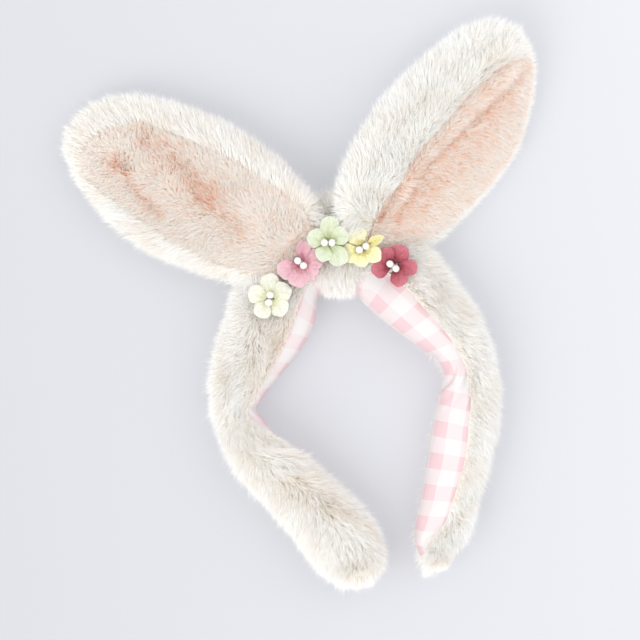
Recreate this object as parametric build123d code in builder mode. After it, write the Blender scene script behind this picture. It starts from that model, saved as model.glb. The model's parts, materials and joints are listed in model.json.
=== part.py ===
"""Plush rabbit-ear headband, lying on its side with the fur's front face up.

Millimetres. The origin is the middle of the head opening, on the plane the headband rests on.
+Y runs from the head opening towards the ears, +X to the right, +Z up off the resting plane.
"""
from build123d import *
from math import radians, tan
import os

os.makedirs("parts", exist_ok=True)

# ---- driving dimensions --------------------------------------------------------------
BAND_MID = 17.0           # height of the band's centre line above the resting plane
BAND_HALF_HEIGHT = 17.0   # fur to fur, half of the band's width on the head
FUR_WALL = 5.0            # backing cloth and half the pile
LINING_WALL = 1.5         # gingham cloth on the head side
LINING_HALF_HEIGHT = 9.0
PADDING_HALF_HEIGHT = BAND_HALF_HEIGHT - FUR_WALL
STRIP_THICKNESS = 1.4
STRIP_HALF_HEIGHT = 9.0
COVER_ROUND = 8.0
PADDING_ROUND = 3.0

SHOULDER_INNER = -18.0    # upper band, measured from the strip, minus is towards the head
SHOULDER_OUTER = 16.0
ARM_INNER = -14.0         # lower arms, the same way
ARM_OUTER = 15.0
WRAP_INNER = -22.0        # the wrap at the crown stands out all round
WRAP_OUTER = 22.0
WRAP_EXTRA_HEIGHT = 4.0
WRAP_LEFT = -18.0         # X of the wrap's two ends
WRAP_RIGHT = 4.2
WRAP_LOWER = 56.0         # Y of its edge on the head side

CREASE_GAP = 4.2          # soft parts stop this far from each crease
STRIP_GAP = 0.5           # the strip itself stops this far from it
END_CAP = 6.0             # fur over the free end of an arm
TIP_LENGTH = 9.0          # plastic tip on the end of the strip
TIP_THICKNESS = 4.0
TIP_HALF_HEIGHT = 10.5

LEFT_CREASE = (-63.5, -4.0)
RIGHT_CREASE = (67.5, 10.0)
CROWN_ROUTE = [LEFT_CREASE, (-61, 8), (-27, 78), (6, 81), (55, 39.5), (65, 22), RIGHT_CREASE]
LEFT_ARM_ROUTE = [(7, -94), (-30, -53), (-62.5, -20), LEFT_CREASE]
RIGHT_ARM_ROUTE = [RIGHT_CREASE, (66.8, -8), (56, -55), (45.5, -90)]

EAR_LENGTH = 126.0        # from the fold at the base to the tip
EAR_START = 5.0
EAR_BASE_HALF = 22.0
EAR_HALF_WIDTH = 36.0
EAR_RIM = 7.0             # width of the furry rim round the inner panel
EAR_BACK = -8.0           # heights in the ear's own plane
EAR_WADDING_LOW = -4.0
EAR_WADDING_HIGH = 1.0
EAR_FRONT = 5.0
EAR_BEND = 58.0           # the wired ear bends across here
EAR_BEND_GAP = 4.5
WIRE_RADIUS = 0.8
WIRE_HEIGHT = -1.5
WIRE_ROUTE = [(1.0, 8), (20, 16), (55, 23), (93, 19.5), (112, 9)]

TAB_WIDTH = 26.0          # cloth tab that sews the ear to the band
TAB_THICKNESS = 5.0
TAB_DEPTH = 6.0
TAB_GAP = 0.8

EARS = {
    # fold point, heading from +X, pitch of the tip, roll of the edge on its left upwards
    "left": {"fold": (-40.8, 87.7, 20.0), "heading": 151.9, "pitch": -4.0, "roll": -3.0},
    "right": {"fold": (13.9, 96.6, 25.0), "heading": 54.4, "pitch": 0.0, "roll": 25.0},
}

BAND_TOP = BAND_MID + BAND_HALF_HEIGHT
WRAP_TOP = BAND_TOP + WRAP_EXTRA_HEIGHT
FLOWERS = {
    # centre, height of the petals, what the stem stands on, overall radius, turn of the pearls
    "cream": {"centre": (-44.0, 55.5), "height": 36.8, "base": BAND_TOP, "radius": 11.8, "turn": 80},
    "pink": {"centre": (-27.0, 74.8), "height": 39.8, "base": BAND_TOP, "radius": 13.0, "turn": -40},
    "green": {"centre": (-12.1, 85.8), "height": 42.2, "base": WRAP_TOP, "radius": 12.4, "turn": 0},
    "yellow": {"centre": (6.6, 83.0), "height": 39.8, "base": BAND_TOP, "radius": 11.5, "turn": 28},
    "burgundy": {"centre": (23.1, 73.2), "height": 37.0, "base": BAND_TOP, "radius": 12.4, "turn": -38},
}
PETAL_THICKNESS = 0.8
PEARL_RADIUS = 2.0
PEARL_SPREAD = 2.05       # from the flower's middle to the middle of a pearl
PEARL_RISE = 3.2          # middle of the pearls above the petals' underside
FILAMENT_RADIUS = 0.4
FILAMENT_CLEARANCE = 0.2


# ---- helpers -------------------------------------------------------------------------
def save(piece, name):
    """Label a finished piece and write it."""
    piece.part.label = name
    export_step(piece.part, f"parts/{name}.step")


def toward(point, other, distance):
    """The point moved towards another by a distance."""
    moved = Vector(*point) + (Vector(*other) - Vector(*point)).normalized() * distance
    return (moved.X, moved.Y)


def shortened(route, first, last):
    """The route with its two ends moved in along their own runs."""
    start = toward(route[0], route[1], first)
    end = toward(route[-1], route[-2], last)
    return [start] + route[1:-1] + [end]


def corner_radii(points):
    """As large an arc at each corner as the two runs beside it allow."""
    radii = []
    for before, corner, after in zip(points, points[1:], points[2:]):
        run_in = Vector(*corner) - Vector(*before)
        run_out = Vector(*after) - Vector(*corner)
        turn = run_in.get_angle(run_out)
        radii.append(0.45 * min(run_in.length, run_out.length) / tan(radians(turn) / 2))
    return radii


def band_path(route, first, last):
    """A tangent-arc path at the band's mid height."""
    radii = corner_radii(shortened(route, CREASE_GAP, CREASE_GAP))
    with BuildLine(Plane.XY.offset(BAND_MID)) as path:
        FilletPolyline(*shortened(route, first, last), radius=radii)
    return path.line


def across(path, at=0):
    """Plane across the band: X points away from the head, Y points up."""
    along = path % at
    return Plane(origin=path @ at, x_dir=Vector(0, 0, 1).cross(along), z_dir=along)


def block(inner, outer, low, high, rounding, mode=Mode.ADD):
    """Rounded rectangle between two distances from the strip and two heights."""
    with Locations(((inner + outer) / 2, (low + high) / 2)):
        RectangleRounded(outer - inner, high - low, rounding, mode=mode)


def padding_block(inner, outer, mode=Mode.ADD):
    """Section of the foam inside the cover."""
    low, high = -PADDING_HALF_HEIGHT, PADDING_HALF_HEIGHT
    block(inner + LINING_WALL, outer - FUR_WALL, low, high, PADDING_ROUND, mode)


def lining_strip(inner, mode=Mode.ADD):
    """Section of the gingham lining on the head side."""
    with Locations((inner + LINING_WALL / 2, 0)):
        Rectangle(LINING_WALL, 2 * LINING_HALF_HEIGHT, mode=mode)


def strip_section(mode=Mode.ADD):
    """Section of the springy strip."""
    Rectangle(STRIP_THICKNESS, 2 * STRIP_HALF_HEIGHT, mode=mode)


def cover_section(inner, outer):
    """Fur wall round the padding, open where the lining closes it."""
    block(inner, outer, -BAND_HALF_HEIGHT, BAND_HALF_HEIGHT, COVER_ROUND)
    padding_block(inner, outer, Mode.SUBTRACT)
    lining_strip(inner, Mode.SUBTRACT)


def crown_cover(keep, cut):
    """One shoulder of the fur cover, from its crease to the wrap."""
    with BuildPart() as cover:
        with BuildSketch(across(CROWN_PATH)):
            cover_section(SHOULDER_INNER, SHOULDER_OUTER)
        sweep(path=CROWN_PATH)
        split(bisect_by=Plane.YZ.offset(cut), keep=keep)
    return cover


def crown_lining(keep, cut):
    """One shoulder of the gingham lining, from its crease to the wrap."""
    with BuildPart() as lining:
        with BuildSketch(across(CROWN_PATH)):
            lining_strip(SHOULDER_INNER)
        sweep(path=CROWN_PATH)
        split(bisect_by=Plane.YZ.offset(cut), keep=keep)
    return lining


# ---- crown: what the two creases leave between them -----------------------------------
CROWN_PATH = band_path(CROWN_ROUTE, CREASE_GAP, CREASE_GAP)
CROWN_STRIP_PATH = band_path(CROWN_ROUTE, STRIP_GAP, STRIP_GAP)

with BuildPart() as crown_strip:
    with BuildSketch(across(CROWN_STRIP_PATH)):
        strip_section()
    sweep(path=CROWN_STRIP_PATH)
save(crown_strip, "crown_strip")

with BuildPart() as crown_padding:
    with BuildSketch(across(CROWN_PATH)):
        padding_block(SHOULDER_INNER, SHOULDER_OUTER)
        strip_section(Mode.SUBTRACT)
    sweep(path=CROWN_PATH)
save(crown_padding, "crown_padding")

shoulder_fur = {
    "left": crown_cover(Keep.BOTTOM, WRAP_LEFT),
    "right": crown_cover(Keep.TOP, WRAP_RIGHT),
}
save(shoulder_fur["left"], "left_shoulder_fur")
save(shoulder_fur["right"], "right_shoulder_fur")
save(crown_lining(Keep.BOTTOM, WRAP_LEFT), "left_shoulder_lining")
save(crown_lining(Keep.TOP, WRAP_RIGHT), "right_shoulder_lining")

with BuildPart() as crown_wrap:
    with BuildSketch(across(CROWN_PATH)):
        top = BAND_HALF_HEIGHT + WRAP_EXTRA_HEIGHT
        block(WRAP_INNER, WRAP_OUTER, -BAND_HALF_HEIGHT, top, COVER_ROUND)
        padding_block(SHOULDER_INNER, SHOULDER_OUTER, Mode.SUBTRACT)
    sweep(path=CROWN_PATH)
    split(bisect_by=Plane.YZ.offset(WRAP_LEFT), keep=Keep.TOP)
    split(bisect_by=Plane.YZ.offset(WRAP_RIGHT), keep=Keep.BOTTOM)
    split(bisect_by=Plane.XZ.offset(-WRAP_LOWER), keep=Keep.BOTTOM)
save(crown_wrap, "crown_wrap")


# ---- the two arms --------------------------------------------------------------------
def make_arm(side, route, free_end):
    """Strip, plastic tip, foam, fur and lining of one arm. free_end is 0 or 1 along the route."""
    outward = -1 if free_end == 0 else 1
    soft_gaps = (0, CREASE_GAP) if free_end == 0 else (CREASE_GAP, 0)
    strip_gaps = (0, STRIP_GAP) if free_end == 0 else (STRIP_GAP, 0)
    soft_path = band_path(route, *soft_gaps)
    strip_path = band_path(route, *strip_gaps)
    end_plane = across(soft_path, free_end)

    with BuildPart() as strip:
        with BuildSketch(across(strip_path)):
            strip_section()
        sweep(path=strip_path)
        with BuildSketch(end_plane):
            Rectangle(TIP_THICKNESS, 2 * BAND_HALF_HEIGHT)
        extrude(amount=-outward * TIP_LENGTH / 3, mode=Mode.SUBTRACT)

    with BuildPart() as tip_envelope:
        with BuildSketch(end_plane):
            RectangleRounded(TIP_THICKNESS, 2 * TIP_HALF_HEIGHT, TIP_THICKNESS / 2 - 0.1)
        extrude(amount=-outward * TIP_LENGTH)

    with BuildPart() as tip:
        add(tip_envelope.part)
        add(strip.part, mode=Mode.SUBTRACT)

    with BuildPart() as padding:
        with BuildSketch(across(soft_path)):
            padding_block(ARM_INNER, ARM_OUTER)
        sweep(path=soft_path)
        add(tip_envelope.part, mode=Mode.SUBTRACT)
        add(strip.part, mode=Mode.SUBTRACT)

    with BuildPart() as cover:
        with BuildSketch(across(soft_path)):
            cover_section(ARM_INNER, ARM_OUTER)
        sweep(path=soft_path)
        with BuildSketch(end_plane):
            block(ARM_INNER, ARM_OUTER, -BAND_HALF_HEIGHT, BAND_HALF_HEIGHT, COVER_ROUND)
        extrude(amount=outward * END_CAP)
        past_end = Axis(end_plane.origin, end_plane.z_dir * outward)
        fillet(cover.faces().sort_by(past_end)[-1].edges(), END_CAP * 0.8)

    with BuildPart() as lining:
        with BuildSketch(across(soft_path)):
            lining_strip(ARM_INNER)
        sweep(path=soft_path)

    save(strip, f"{side}_arm_strip")
    save(tip, f"{side}_strip_tip")
    save(padding, f"{side}_arm_padding")
    save(cover, f"{side}_arm_fur")
    save(lining, f"{side}_arm_lining")


make_arm("left", LEFT_ARM_ROUTE, 0)
make_arm("right", RIGHT_ARM_ROUTE, 1)


# ---- ears ----------------------------------------------------------------------------
def ear_plane(fold, heading, pitch, roll):
    """The ear's own plane: X to its tip, Y to its left edge, Z out of its plush inside."""
    along = Vector(1, 0, 0).rotate(Axis.Y, -pitch).rotate(Axis.Z, heading)
    level = Vector(0, 0, 1).rotate(Axis.Y, -pitch).rotate(Axis.Z, heading)
    return Plane(origin=fold, x_dir=along, z_dir=level.rotate(Axis((0, 0, 0), along), roll))


def ear_outline(inset):
    """Leaf outline of the ear, drawn inside its edge by the inset."""
    base = (EAR_START + inset, EAR_BASE_HALF - inset)
    side = (55, EAR_HALF_WIDTH - inset)
    shoulder = (103 - 0.4 * inset, 28 - 0.9 * inset)
    tip = (EAR_LENGTH - inset, 0)
    with BuildLine() as outline:
        Line((base[0], -base[1]), base)
        ThreePointArc(base, side, shoulder)
        ThreePointArc(shoulder, tip, (shoulder[0], -shoulder[1]))
        ThreePointArc((shoulder[0], -shoulder[1]), (side[0], -side[1]), (base[0], -base[1]))
    make_face(outline.edges())


def across_ear(plane, distance):
    """Plane across the ear at a distance from its fold."""
    return Plane(origin=plane.from_local_coords((distance, 0, 0)), z_dir=plane.x_dir)


def save_halves(whole, name, plane, gap):
    """Cut a piece of the ear at the bend and write its lower and upper stretches."""
    with BuildPart() as lower:
        add(whole.part)
        split(bisect_by=across_ear(plane, EAR_BEND - gap), keep=Keep.BOTTOM)
    with BuildPart() as upper:
        add(whole.part)
        split(bisect_by=across_ear(plane, EAR_BEND + gap), keep=Keep.TOP)
    save(lower, f"{name}_lower")
    save(upper, f"{name}_upper")


def make_ear(side, fold, heading, pitch, roll):
    """Wire, wadding, furry back, plush front and sewn tab of one ear."""
    plane = ear_plane(fold, heading, pitch, roll)
    returning = [(x, -y) for x, y in reversed(WIRE_ROUTE)]
    points = WIRE_ROUTE + returning

    with BuildPart() as wire:
        with BuildLine(plane.offset(WIRE_HEIGHT)) as loop:
            FilletPolyline(*points, radius=corner_radii(points))
        with BuildSketch(Plane(origin=loop.line @ 0, z_dir=loop.line % 0)):
            Circle(WIRE_RADIUS)
        sweep(path=loop.line)

    with BuildPart() as wadding:
        with BuildSketch(plane.offset(EAR_WADDING_LOW)):
            ear_outline(EAR_RIM)
        extrude(amount=EAR_WADDING_HIGH - EAR_WADDING_LOW)
        add(wire.part, mode=Mode.SUBTRACT)

    with BuildPart() as front:
        with BuildSketch(plane.offset(EAR_WADDING_HIGH)):
            ear_outline(EAR_RIM)
        extrude(amount=EAR_FRONT - EAR_WADDING_HIGH)

    with BuildPart() as back:
        with BuildSketch(plane.offset(EAR_BACK)):
            ear_outline(0)
        extrude(amount=EAR_FRONT - EAR_BACK)
        with BuildSketch(plane.offset(EAR_WADDING_LOW)):
            ear_outline(EAR_RIM)
        extrude(amount=EAR_FRONT - EAR_WADDING_LOW, mode=Mode.SUBTRACT)
        add(wire.part, mode=Mode.SUBTRACT)

    with BuildPart() as tab:
        with BuildSketch(plane.offset(WIRE_HEIGHT - TAB_THICKNESS / 2)):
            with Locations((-TAB_GAP - TAB_DEPTH / 2, 0)):
                Rectangle(TAB_DEPTH, TAB_WIDTH)
        extrude(amount=TAB_THICKNESS)
        for neighbour in (shoulder_fur[side], crown_wrap, crown_padding):
            add(neighbour.part, mode=Mode.SUBTRACT)

    save_halves(wire, f"{side}_ear_wire", plane, STRIP_GAP)
    save_halves(wadding, f"{side}_ear_wadding", plane, EAR_BEND_GAP)
    save_halves(front, f"{side}_ear_front", plane, EAR_BEND_GAP)
    save_halves(back, f"{side}_ear_back", plane, EAR_BEND_GAP)
    save(tab, f"{side}_ear_tab")


for ear_side, ear_place in EARS.items():
    make_ear(ear_side, **ear_place)


# ---- flowers -------------------------------------------------------------------------
def make_flower(colour, centre, height, base, radius, turn):
    """One cloth flower, and its two pearl stamens with filaments that go down into the band."""
    petal_radius = radius * 0.42

    with BuildPart() as petals:
        with BuildSketch(Plane((*centre, height))):
            with PolarLocations(radius - petal_radius, 5, start_angle=90):
                Circle(petal_radius)
            Circle(radius * 0.45)
            Circle(PEARL_SPREAD + FILAMENT_RADIUS + FILAMENT_CLEARANCE, mode=Mode.SUBTRACT)
        extrude(amount=PETAL_THICKNESS)

    with BuildPart() as stamens:
        for turned in (turn, turn + 180):
            offset = Vector(PEARL_SPREAD, 0, 0).rotate(Axis.Z, turned)
            foot = Vector(*centre, base) + offset
            with BuildSketch(Plane(foot)):
                Circle(FILAMENT_RADIUS)
            extrude(amount=height + PEARL_RISE - base)
            with Locations(foot + Vector(0, 0, height + PEARL_RISE - base)):
                Sphere(PEARL_RADIUS)

    save(petals, f"{colour}_flower_petals")
    save(stamens, f"{colour}_flower_stamens")


for flower_colour, flower_place in FLOWERS.items():
    make_flower(flower_colour, **flower_place)
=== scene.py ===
"""Plush rabbit-ear headband: pile, gingham lining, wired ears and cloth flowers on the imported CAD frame.

Lengths are millimetres in the CAD's own frame: +Y runs from the head opening to the ears, +Z is up
off the resting plane. They become metres only where a Blender object is made.
"""
import json
from math import cos, pi, radians, sin

import bpy
import numpy as np
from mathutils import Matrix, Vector


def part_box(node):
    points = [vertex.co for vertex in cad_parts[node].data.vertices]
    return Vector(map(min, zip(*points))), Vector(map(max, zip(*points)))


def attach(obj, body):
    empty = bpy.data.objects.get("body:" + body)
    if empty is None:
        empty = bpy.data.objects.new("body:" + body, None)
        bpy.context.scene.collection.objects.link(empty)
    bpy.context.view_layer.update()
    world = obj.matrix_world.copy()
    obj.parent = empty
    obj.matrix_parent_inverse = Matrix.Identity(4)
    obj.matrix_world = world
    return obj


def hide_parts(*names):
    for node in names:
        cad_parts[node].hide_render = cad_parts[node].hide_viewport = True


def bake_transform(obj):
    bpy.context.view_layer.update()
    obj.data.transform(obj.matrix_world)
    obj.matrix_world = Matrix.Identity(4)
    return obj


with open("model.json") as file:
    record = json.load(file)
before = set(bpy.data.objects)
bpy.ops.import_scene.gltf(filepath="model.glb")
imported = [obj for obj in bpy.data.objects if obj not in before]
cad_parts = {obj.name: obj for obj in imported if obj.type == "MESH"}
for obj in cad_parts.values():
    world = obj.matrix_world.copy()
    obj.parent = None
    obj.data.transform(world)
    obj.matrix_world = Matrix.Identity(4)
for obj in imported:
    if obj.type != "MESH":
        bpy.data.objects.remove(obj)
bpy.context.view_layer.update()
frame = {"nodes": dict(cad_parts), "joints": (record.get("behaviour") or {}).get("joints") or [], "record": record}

MM = 0.001
BAKE_UV = "OFBake"        # the UV layer that a baked colour uses
CLOTH_UV = "cloth"        # the same cloth, measured in gingham checks
STRANDS = 1.0
FLOOR_GAP = 0.3           # pile is pressed flat this far above the resting plane
FLOOR_PAINTED_FALLOFF = (2.0, 0.7)  # painted light falloff: the sheet is painted paler along X and Y, per metre
# how much the sheet glows: it lights the headband from below and paints the shadows on the sheet paler
FLOOR_GLOW = 0.8


# ---- camera, light and floor -----------------------------------------------------------
VIEW_CENTRE = (-16.5, 44.0, 25.0)
VIEW_WIDTH = 352.0
VIEW_DISTANCE = 1200.0
SENSOR = 36.0


def add_camera():
    """Looks straight down, with the ears at the top of the picture."""
    data = bpy.data.cameras.new("camera")
    data.sensor_width = SENSOR
    data.lens = SENSOR * VIEW_DISTANCE / VIEW_WIDTH
    camera = bpy.data.objects.new("camera", data)
    camera.location = (Vector(VIEW_CENTRE) + Vector((0, 0, VIEW_DISTANCE))) * MM
    bpy.context.scene.collection.objects.link(camera)
    bpy.context.scene.camera = camera


def add_softbox(name, place, power, size, tint):
    """A square lamp in metres, aimed at the middle of the headband."""
    data = bpy.data.lights.new(name, "AREA")
    data.energy = power
    data.size = size
    data.color = tint
    lamp = bpy.data.objects.new(name, data)
    lamp.location = place
    aim = Vector(VIEW_CENTRE) * MM - Vector(place)
    lamp.rotation_euler = aim.to_track_quat("-Z", "Y").to_euler()
    bpy.context.scene.collection.objects.link(lamp)


def add_world(strength, tint):
    """Even light from all round."""
    world = bpy.data.worlds.new("studio")
    world.use_nodes = True
    background = world.node_tree.nodes["Background"]
    background.inputs["Color"].default_value = (*tint, 1)
    background.inputs["Strength"].default_value = strength
    bpy.context.scene.world = world


# ---- materials -------------------------------------------------------------------------
def srgb(red, green, blue):
    """A colour as it looks on a screen, from 0 to 255, in the renderer's linear values."""
    screen = np.array([red, green, blue]) / 255
    linear = np.where(screen <= 0.04045, screen / 12.92, ((screen + 0.055) / 1.055) ** 2.4)
    return (*linear.tolist(), 1.0)


class Shader:
    """A Principled material that is put together node by node."""

    def __init__(self, name, roughness, specular=0.3, sheen=0.0):
        self.material = bpy.data.materials.new(name)
        self.material.use_nodes = True
        self.tree = self.material.node_tree
        self.surface = self.tree.nodes["Principled BSDF"]
        self.surface.inputs["Roughness"].default_value = roughness
        self.surface.inputs["Specular IOR Level"].default_value = specular
        self.surface.inputs["Sheen Weight"].default_value = sheen

    def node(self, kind, **settings):
        made = self.tree.nodes.new(kind)
        for name, value in settings.items():
            setattr(made, name, value)
        return made

    def link(self, source, target):
        self.tree.links.new(source, target)

    def uv(self, layer):
        """The two coordinates of a UV layer, as separate sockets."""
        source = self.node("ShaderNodeUVMap", uv_map=layer)
        parts = self.node("ShaderNodeSeparateXYZ")
        self.link(source.outputs["UV"], parts.inputs["Vector"])
        return parts.outputs["X"], parts.outputs["Y"]

    def math(self, operation, *values):
        made = self.node("ShaderNodeMath", operation=operation)
        for socket, value in zip(made.inputs, values):
            if isinstance(value, (int, float)):
                socket.default_value = value
            else:
                self.link(value, socket)
        return made.outputs["Value"]

    def ramp(self, factor, stops):
        made = self.node("ShaderNodeValToRGB")
        elements = made.color_ramp.elements
        while len(elements) < len(stops):
            elements.new(0.5)
        for element, (position, colour) in zip(elements, stops):
            element.position = position
            element.color = colour
        self.link(factor, made.inputs["Fac"])
        return made.outputs["Color"]

    def mix(self, factor, first, second, blend_type="MIX"):
        made = self.node("ShaderNodeMix", data_type="RGBA", blend_type=blend_type)
        sockets = (made.inputs["Factor"], made.inputs["A"], made.inputs["B"])
        colour_sockets = [s for s in made.inputs if s.type == "RGBA"]
        for socket, value in zip((sockets[0], *colour_sockets), (factor, first, second)):
            if isinstance(value, (int, float)):
                socket.default_value = value
            elif isinstance(value, tuple):
                socket.default_value = value
            else:
                self.link(value, socket)
        return next(s for s in made.outputs if s.type == "RGBA")

    def noise(self, scale, detail=3.0, stretch=None):
        """Noise over the object's own metres, or stretched along an axis of a UV layer."""
        made = self.node("ShaderNodeTexNoise")
        made.inputs["Scale"].default_value = scale
        made.inputs["Detail"].default_value = detail
        if stretch is None:
            place = self.node("ShaderNodeTexCoord").outputs["Object"]
        else:
            layer, factors = stretch
            scaled = self.node("ShaderNodeMapping")
            scaled.inputs["Scale"].default_value = factors
            source = self.node("ShaderNodeUVMap", uv_map=layer)
            self.link(source.outputs["UV"], scaled.inputs["Vector"])
            place = scaled.outputs["Vector"]
        self.link(place, made.inputs["Vector"])
        return made.outputs["Fac"]

    def colour(self, socket):
        self.link(socket, self.surface.inputs["Base Color"])

    def bump(self, height, strength, distance):
        made = self.node("ShaderNodeBump")
        made.inputs["Strength"].default_value = strength
        made.inputs["Distance"].default_value = distance
        self.link(height, made.inputs["Height"])
        self.link(made.outputs["Normal"], self.surface.inputs["Normal"])


def pile_material(name, light, dark):
    """Plush pile. The bake UV runs from light to dark strands, and from their roots to their tips; the roots are
    painted darker and warmer than the tips, as painted shade deep in the pile.
    """
    shader = Shader(name, roughness=0.75, specular=0.2)
    shade, height = shader.uv(BAKE_UV)
    places = (0.0, 0.45, 1.0)
    pale = shader.ramp(height, list(zip(places, [srgb(*c) for c in light])))
    deep = shader.ramp(height, list(zip(places, [srgb(*c) for c in dark])))
    shader.colour(shader.mix(shade, pale, deep))
    return shader.material


def knit_material(name, light, dark):
    """The knitted backing that a pile grows from."""
    shader = Shader(name, roughness=0.95, specular=0.1)
    shader.colour(shader.ramp(shader.noise(900, 2), [(0.35, srgb(*dark)), (0.65, srgb(*light))]))
    return shader.material


def gingham_material():
    """Woven cotton in white, pale pink and pink checks."""
    shader = Shader("gingham_cotton", roughness=0.85, specular=0.2, sheen=0.1)
    across, along = shader.uv(CLOTH_UV)
    stripes = [
        shader.math("GREATER_THAN", shader.math("SINE", shader.math("MULTIPLY", way, pi)), 0.0)
        for way in (across, along)
    ]
    share = shader.math("MULTIPLY", shader.math("ADD", *stripes), 0.5)
    checks = shader.ramp(
        share,
        [(0.0, srgb(233, 230, 229)), (0.5, srgb(234, 221, 222)), (1.0, srgb(233, 203, 207))],
    )
    threads = [
        shader.math("SINE", shader.math("MULTIPLY", way, 2 * pi * THREADS_PER_CHECK))
        for way in (across, along)
    ]
    weave = shader.math("MULTIPLY", *threads)
    shade = shader.math("ADD", shader.math("MULTIPLY", weave, 0.03), 0.96)
    faded = shader.noise(60, 3)
    shade = shader.math("ADD", shade, shader.math("MULTIPLY", faded, 0.05))
    grey = shader.node("ShaderNodeCombineColor")
    for socket in grey.inputs:
        shader.link(shade, socket)
    shader.colour(shader.mix(1.0, checks, grey.outputs["Color"], "MULTIPLY"))
    shader.bump(weave, 0.35, 0.0001)
    return shader.material


def petal_material(name, heart, middle, edge):
    """Cloth petal, darker at the heart and paler at the edge. The bake UV runs from the flower's middle outwards,
    and across the petal.
    """
    shader = Shader(name, roughness=0.7, specular=0.25, sheen=0.15)
    outward, _ = shader.uv(BAKE_UV)
    stops = [(0.12, srgb(*heart)), (0.42, srgb(*middle)), (0.95, srgb(*edge))]
    veins = shader.noise(3.0, 4.0, (BAKE_UV, (1.5, 14.0, 1.0)))
    blotches = shader.noise(6.0, 3.0, (BAKE_UV, (1.0, 1.0, 1.0)))
    shift = shader.math("MULTIPLY", shader.math("SUBTRACT", blotches, 0.5), 0.5)
    heart_to_edge = shader.ramp(shader.math("ADD", outward, shift), stops)
    streaked = shader.ramp(veins, [(0.38, (0.66, 0.62, 0.62, 1)), (0.56, (1, 1, 1, 1))])
    shader.colour(shader.mix(0.6, heart_to_edge, shader.mix(1.0, heart_to_edge, streaked, "MULTIPLY")))
    shader.bump(veins, 0.4, 0.0003)
    return shader.material


def grained_material(name, light, dark, roughness, scale, metallic=0.0, specular=0.4):
    """Moulded, drawn or foamed stuff: two tones in a fine grain."""
    shader = Shader(name, roughness=roughness, specular=specular)
    shader.surface.inputs["Metallic"].default_value = metallic
    grain = shader.noise(scale, 4)
    shader.colour(shader.ramp(grain, [(0.35, srgb(*dark)), (0.65, srgb(*light))]))
    return shader.material


def pearl_material():
    """Lacquered bead: a soft milky body under a clear coat."""
    shader = Shader("pearl", roughness=0.22, specular=0.6)
    shader.surface.inputs["Coat Weight"].default_value = 0.6
    shader.surface.inputs["Coat Roughness"].default_value = 0.08
    lustre = shader.noise(350, 2)
    shader.colour(shader.ramp(lustre, [(0.3, srgb(236, 231, 224)), (0.7, srgb(252, 250, 246))]))
    return shader.material


def floor_material():
    """Matt lavender-white sheet that glows a little, as a light table does: the glow lights the headband from
    below and paints the shadows on the sheet paler. Its colour and glow are painted paler along X and Y, a painted
    light falloff.
    """
    shader = Shader("studio_sheet", roughness=0.95, specular=0.1)
    place = shader.node("ShaderNodeSeparateXYZ")
    shader.link(shader.node("ShaderNodeTexCoord").outputs["Object"], place.inputs["Vector"])
    # painted light falloff: paler along X and Y
    slope = shader.math("MULTIPLY_ADD", place.outputs["X"], FLOOR_PAINTED_FALLOFF[0], 0.45)
    slope = shader.math("MULTIPLY_ADD", place.outputs["Y"], FLOOR_PAINTED_FALLOFF[1], slope)
    grain = shader.math("MULTIPLY_ADD", shader.noise(1.5, 2), 0.2, -0.1)
    tone = shader.math("ADD", slope, grain)
    tint = shader.ramp(tone, [(0.0, srgb(161, 162, 166)), (1.0, srgb(176, 177, 181))])
    shader.colour(tint)
    shader.link(tint, shader.surface.inputs["Emission Color"])
    shader.surface.inputs["Emission Strength"].default_value = FLOOR_GLOW
    return shader.material


# ---- surfaces --------------------------------------------------------------------------
def through(stations, places):
    """A smooth curve through given stations. Places count stations, and can be fractions."""
    points = np.asarray(stations, float)
    last = len(points) - 1
    index = np.clip(np.floor(places).astype(int), 0, last - 1)
    part = (np.asarray(places) - index)[:, None]
    here = points[index]
    there = points[index + 1]
    leaving = (there - points[np.maximum(index - 1, 0)]) / 2
    arriving = (points[np.minimum(index + 2, last)] - here) / 2
    square = part * part
    cube = square * part
    return (
        (2 * cube - 3 * square + 1) * here
        + (cube - 2 * square + part) * leaving
        + (3 * square - 2 * cube) * there
        + (cube - square) * arriving
    )


def between(low, high, value):
    """0 below low, 1 above high, and a smooth rise in between."""
    part = np.clip((value - low) / (high - low), 0, 1)
    return part * part * (3 - 2 * part)


def unit(vectors):
    return vectors / np.maximum(np.linalg.norm(vectors, axis=-1, keepdims=True), 1e-9)


def mound(distance, width):
    """A bell of height 1."""
    return np.exp(-((distance / width) ** 2))


def waves(along, around, size, seed):
    """A smooth random value over a cloth, mostly within 1 of 0, with bumps about this size."""
    rng = np.random.default_rng(seed)
    total = np.zeros(np.shape(along))
    for _ in range(6):
        heading = rng.uniform(0, 2 * pi)
        pitch = 2 * pi / size * rng.uniform(0.6, 1.5)
        phase = rng.uniform(0, 2 * pi)
        total += np.sin(pitch * (along * cos(heading) + around * sin(heading)) + phase)
    return total / 3


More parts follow.
